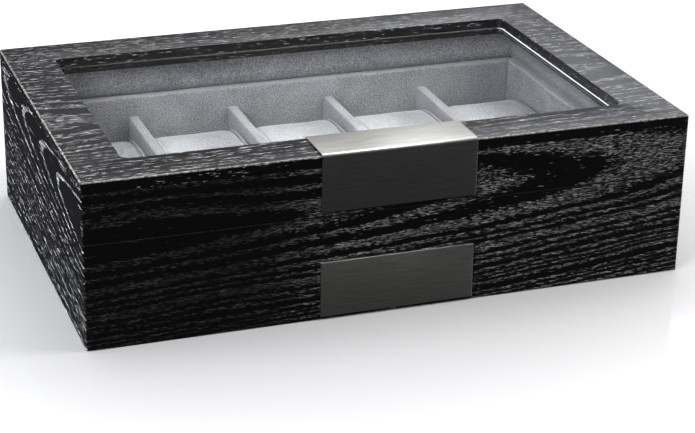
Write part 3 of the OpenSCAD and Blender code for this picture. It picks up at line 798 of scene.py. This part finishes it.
def pillow(node, turned, seed):
    """One pillow of the ten: the stuffed sleeve set down in its compartment, with its own dents."""
    low, high = [Vector(c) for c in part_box(node)]
    middle = Vector(((low.x + high.x) / 2, (low.y + high.y) / 2, low.z))
    data = pattern.data.copy()
    data.name = node + "_sleeve"
    for vertex in data.vertices:
        p = Vector((-vertex.co.x, -vertex.co.y, vertex.co.z)) if turned else vertex.co.copy()
        inward = Vector((0, -p.y, tall / 2 - p.z)).normalized()
        p += inward * DENT * turbulence_vector(p * DENTS + Vector((seed, 0, 0)), 2, False).x
        vertex.co = p + middle
    data.materials.clear()
    data.materials.append(silver_velour)
    for face in data.polygons:
        face.use_smooth = True
    piece = bpy.data.objects.new(node + "_sleeve", data)
    scene.collection.objects.link(piece)
    seam_at = half_x - WELT_IN
    rings = [[middle + Vector((x, y, z)) for y, z in section(WELT_SUNK)] for x in (seam_at, -seam_at)]
    welts = grown(node + "_welts", cord, {
        "Radius": WELT, "Sides": 10, "Cover": silver_velour,
    }, loops("seam_lines", rings))
    for part in (piece, welts):
        # Painted sheen: the velour is painted paler towards the left and the front of each pillow, however
        # it is turned
        paint_pile_light(part, lambda p: 0.5 - 0.4 * (p.x - middle.x) / half_x - 0.25 * (p.y - middle.y) / half_y)
    subdivision = piece.modifiers.new("velour", "SUBSURF")
    subdivision.levels = subdivision.render_levels = 1
    for part in (piece, welts):
        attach(part, node)
    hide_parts(node)


# Neighbours lie the other way round, and each has its own dents, which a fixed seed keeps the same
seed_set(1)
for row_number, row_name in enumerate(("front", "back")):
    for column in range(1, 6):
        turned = (row_number + column) % 2 == 1
        pillow(f"pillow_{row_name}_{column}", turned, 10 * row_number + column)
bpy.data.objects.remove(pattern)

# ---------- Glazing ----------
# A pane of float glass lies under the wood border, on a black-stained frame that is fixed inside
# the lid. A thin bead of clear sealant runs round it, at the foot of the window's edge.

BEAD = 0.00045          # radius of the bead
WINDOW = (0.134, 0.079)  # half the window's width and depth
WINDOW_CORNER = 0.004   # radius of its corners
CORNER_STEPS = 6        # steps of the bead round a corner

# Clear and colourless, with a plain mirror's shine
float_glass, tree, shader = material("float_glass")
shader.inputs["Base Color"].default_value = linear("#fbfbfa")
shader.inputs["Transmission Weight"].default_value = 1.0
shader.inputs["Roughness"].default_value = 0.0
shader.inputs["IOR"].default_value = 1.5
# Lamps shine straight through a pane: only what the eye sees is bent and mirrored
clear = add(tree, "ShaderNodeBsdfTransparent", {"Color": linear("#f4f4f4")})
lamp_ray = add(tree, "ShaderNodeLightPath").outputs["Is Shadow Ray"]
pane = add(tree, "ShaderNodeMixShader", {0: lamp_ray, 1: shader, 2: clear})
tree.links.new(pane.outputs[0], tree.nodes["Material Output"].inputs["Surface"])
dress("glass_pane", float_glass)

# Clear sealant over stained wood: dark, with a wet glint, slightly uneven along its length
silicone, tree, shader = material("clear_silicone")
place = add(tree, "ShaderNodeTexCoord").outputs["Object"]
ripple = add(tree, "ShaderNodeTexNoise", {"Vector": place, "Scale": 300.0, "Detail": 2.0})
tone = add(tree, "ShaderNodeMix", {0: ripple, 6: linear("#24211e"), 7: linear("#4c4740")}, data_type="RGBA")
# Painted highlight: along the right of the window the bead is painted pale bluish white, as if catching the
# light
to_right = add(tree, "ShaderNodeSeparateXYZ", {0: place}).outputs["X"]
painted_glint = add(tree, "ShaderNodeMapRange", {
    "Value": to_right, "From Min": WINDOW[0] - 0.003, "From Max": WINDOW[0] - 0.0005,
})
tone = add(tree, "ShaderNodeMix", {0: painted_glint, 6: tone.outputs[2], 7: linear("#dfe8f0")}, data_type="RGBA")
tree.links.new(tone.outputs[2], shader.inputs["Base Color"])
bump = add(tree, "ShaderNodeBump", {"Height": ripple, "Strength": 0.1, "Distance": 0.0001})
tree.links.new(bump.outputs[0], shader.inputs["Normal"])
shader.inputs["Roughness"].default_value = 0.08
corner_x, corner_y = WINDOW[0] - WINDOW_CORNER, WINDOW[1] - WINDOW_CORNER
glass_top = Vector(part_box("glass_pane")[1]).z
ring = []
for start, way_x, way_y in ((0, 1, 1), (90, -1, 1), (180, -1, -1), (270, 1, -1)):
    for step in range(CORNER_STEPS + 1):
        t = math.radians(start + 90 / CORNER_STEPS * step)
        x = way_x * corner_x + WINDOW_CORNER * math.cos(t)
        y = way_y * corner_y + WINDOW_CORNER * math.sin(t)
        ring.append((x, y, glass_top))
bead = grown("sealant_bead", cord, {
    "Radius": BEAD, "Sides": 12, "Cover": silicone,
}, loops("window_foot", [ring]))
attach(bead, "lid")

# ---------- Steel plates ----------
# A grip bent from one strip of stainless steel over the lid's front edge, and a flat plate of the
# same width below it on the base, both brushed lengthwise, deburred and glued on.

DEBURRED = 0.0002       # how far the plates' edges are rounded


def brushed_steel(name, colour, rough):
    """Stainless steel brushed along X: highlights stretch across the brushing."""
    made, tree, shader = material(name)
    place = add(tree, "ShaderNodeTexCoord").outputs["Object"]
    # Scratches 0.05 mm wide and some 17 mm long, drawn 0.6 mm wide
    lines = add(tree, "ShaderNodeMapping", {"Vector": place, "Scale": (60.0, 1600.0, 1600.0)})
    scratches = add(tree, "ShaderNodeTexNoise", {
        "Vector": lines, "Scale": 1.0, "Detail": 3.0, "Roughness": 0.7,
    })
    smudges = add(tree, "ShaderNodeTexNoise", {"Vector": place, "Scale": 30.0, "Detail": 2.0})
    tone = add(tree, "ShaderNodeMapRange", {
        "Value": scratches, "From Min": 0.3, "From Max": 0.7, "To Min": 0.62, "To Max": 1.0,
    })
    bright = add(tree, "ShaderNodeMix", {0: tone, 6: (0, 0, 0, 1), 7: linear(colour)}, data_type="RGBA")
    tree.links.new(bright.outputs[2], shader.inputs["Base Color"])
    haze = add(tree, "ShaderNodeMath", {0: smudges, 1: 0.08, 2: rough - 0.04}, operation="MULTIPLY_ADD")
    tree.links.new(haze.outputs[0], shader.inputs["Roughness"])
    bump = add(tree, "ShaderNodeBump", {"Height": scratches, "Strength": 0.08, "Distance": 0.00005})
    tree.links.new(bump.outputs[0], shader.inputs["Normal"])
    shader.inputs["Metallic"].default_value = 1.0
    shader.inputs["Anisotropic"].default_value = 0.7
    brushing = add(tree, "ShaderNodeTangent", direction_type="RADIAL", axis="X")
    tree.links.new(brushing.outputs[0], shader.inputs["Tangent"])
    return made


for node, body, finish in (
    ("grip_plate", "lid", brushed_steel("brushed_steel", "#bebdb7", 0.34)),
    ("base_plate", "base", brushed_steel("brushed_steel_flat", "#dcdad0", 0.42)),
):
    plate = packed_copy(node, node.replace("_plate", "_strip"), DEBURRED)
    plate.data.materials.append(finish)
    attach(plate, body)
    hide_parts(node)

# ---------- Hinges ----------
# Two nickel-plated stop hinges, let into the rims of the back walls. Five knuckles turn on a
# pin, and shoulders behind them meet when the lid is open. Three countersunk screws hold a leaf.

HEAD = 0.0021           # radius of a screw's head
SHANK = 0.0011          # and of its shank
HEAD_DEEP = 0.0011      # depth of the cone under the head
SCREW_LONG = 0.0091     # from head to tip
SLOT_WIDE = 0.0006      # width of each of the two slots in a head
SCREW_PITCH = 0.034 / 3  # a leaf's length, shared by its three screws
HINGE_APART = 0.2       # from the middle of one hinge to that of the other
FACET = math.radians(30)  # a turn sharper than this shows as an edge on a screw

# Barrel-plated small parts: a warm grey shine with a faint cloud and fine handling marks
nickel, tree, shader = material("nickel_plate")
place = add(tree, "ShaderNodeTexCoord").outputs["Object"]
cloud = add(tree, "ShaderNodeTexNoise", {"Vector": place, "Scale": 250.0, "Detail": 3.0})
colour = add(tree, "ShaderNodeMix", {
    0: cloud, 6: linear("#9c988f"), 7: linear("#b3b0a7"),
}, data_type="RGBA")
tree.links.new(colour.outputs[2], shader.inputs["Base Color"])
rough = add(tree, "ShaderNodeMapRange", {"Value": cloud, "To Min": 0.26, "To Max": 0.4})
tree.links.new(rough.outputs[0], shader.inputs["Roughness"])
marks = add(tree, "ShaderNodeTexNoise", {"Vector": place, "Scale": 1500.0, "Detail": 2.0})
bump = add(tree, "ShaderNodeBump", {"Height": marks, "Strength": 0.03, "Distance": 0.00002})
tree.links.new(bump.outputs[0], shader.inputs["Normal"])
shader.inputs["Metallic"].default_value = 1.0

for node, body in (("base_hinge_leaves", "base"), ("lid_hinge_leaves", "lid"), ("hinge_pins", "base")):
    part = packed_copy(node, node.replace("hinge", "nickel_hinge"))
    part.data.materials.append(nickel)
    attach(part, body)
    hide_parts(node)

screws = bpy.data.node_groups.new("countersunk_screws", "GeometryNodeTree")
given, result = interface(
    screws, Head_Radius="Float", Shank_Radius="Float", Head_Depth="Float", Length="Float",
    Slot_Width="Float", Pitch="Float", Apart="Float", Row_Start="Vector", Turned="Float", Metal="Material",
)
size = given.outputs
head = add(screws, "GeometryNodeMeshCone", {
    "Vertices": 24, "Depth": size["Head Depth"],
    "Radius Top": size["Head Radius"], "Radius Bottom": size["Shank Radius"],
})
sunk = add(screws, "ShaderNodeMath", {0: size["Head Depth"], 1: -1.0}, operation="MULTIPLY")
head = add(screws, "GeometryNodeTransform", {
    "Geometry": head.outputs["Mesh"], "Translation": add(screws, "ShaderNodeCombineXYZ", {"Z": sunk}),
})
shank_long = add(screws, "ShaderNodeMath", {0: size["Length"], 1: size["Head Depth"]}, operation="SUBTRACT")
shank_mid = add(screws, "ShaderNodeMath", {0: size["Length"], 1: size["Head Depth"]}, operation="ADD")
shank_mid = add(screws, "ShaderNodeMath", {0: shank_mid, 1: -0.5}, operation="MULTIPLY")
shank = add(screws, "GeometryNodeMeshCylinder", {
    "Vertices": 12, "Radius": size["Shank Radius"], "Depth": shank_long,
})
shank = add(screws, "GeometryNodeTransform", {
    "Geometry": shank.outputs["Mesh"], "Translation": add(screws, "ShaderNodeCombineXYZ", {"Z": shank_mid}),
})
slot_long = add(screws, "ShaderNodeMath", {0: size["Head Radius"], 1: 1.25}, operation="MULTIPLY")
slots = []
for across, along in ((slot_long, size["Slot Width"]), (size["Slot Width"], slot_long)):
    slots.append(add(screws, "GeometryNodeMeshCube", {
        "Size": add(screws, "ShaderNodeCombineXYZ", {"X": across, "Y": along, "Z": size["Head Depth"]}),
    }))
recessed = add(screws, "GeometryNodeMeshBoolean", {
    "Mesh 1": head, "Mesh 2": slots[0].outputs["Mesh"],
}, operation="DIFFERENCE", solver="EXACT")
screws.links.new(slots[1].outputs["Mesh"], recessed.inputs["Mesh 2"])
one = add(screws, "GeometryNodeJoinGeometry", {"Geometry": recessed})
screws.links.new(shank.outputs[0], one.inputs[0])
rows = add(screws, "GeometryNodeMeshLine", {
    "Count": 3, "Start Location": size["Row Start"],
    "Offset": add(screws, "ShaderNodeCombineXYZ", {"X": size["Pitch"]}),
})
hinges = add(screws, "GeometryNodeMeshLine", {
    "Count": 2, "Offset": add(screws, "ShaderNodeCombineXYZ", {"X": size["Apart"]}),
})
rows = add(screws, "GeometryNodeInstanceOnPoints", {"Points": hinges, "Instance": rows})
rows = add(screws, "GeometryNodeRealizeInstances", {"Geometry": rows})
# Each screw was driven home at an angle of its own
driven = add(screws, "FunctionNodeRandomValue", {"Max": math.pi / 2, "Seed": 5}, data_type="FLOAT")
turn = add(screws, "ShaderNodeCombineXYZ", {"X": size["Turned"], "Z": driven.outputs[1]})
seated = add(screws, "GeometryNodeInstanceOnPoints", {"Points": rows, "Instance": one, "Rotation": turn})
solid = add(screws, "GeometryNodeRealizeInstances", {"Geometry": seated})
plated = add(screws, "GeometryNodeSetMaterial", {"Geometry": solid, "Material": size["Metal"]})
screws.links.new(plated.outputs[0], result.inputs[0])

for body, turned in (("base", 0.0), ("lid", math.pi)):
    low, high = [Vector(c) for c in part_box(f"{body}_hinge_screws")]
    level = high.z if body == "base" else low.z
    fixings = grown(f"{body}_countersunk_screws", screws, {
        "Head Radius": HEAD, "Shank Radius": SHANK, "Head Depth": HEAD_DEEP, "Length": SCREW_LONG,
        "Slot Width": SLOT_WIDE, "Pitch": SCREW_PITCH, "Apart": HINGE_APART, "Turned": turned,
        "Row Start": (-HINGE_APART / 2 - SCREW_PITCH, (low.y + high.y) / 2, level),
        "Metal": nickel,
    })
    fixings.data.set_sharp_from_angle(angle=FACET)
    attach(fixings, body)
    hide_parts(f"{body}_hinge_screws")
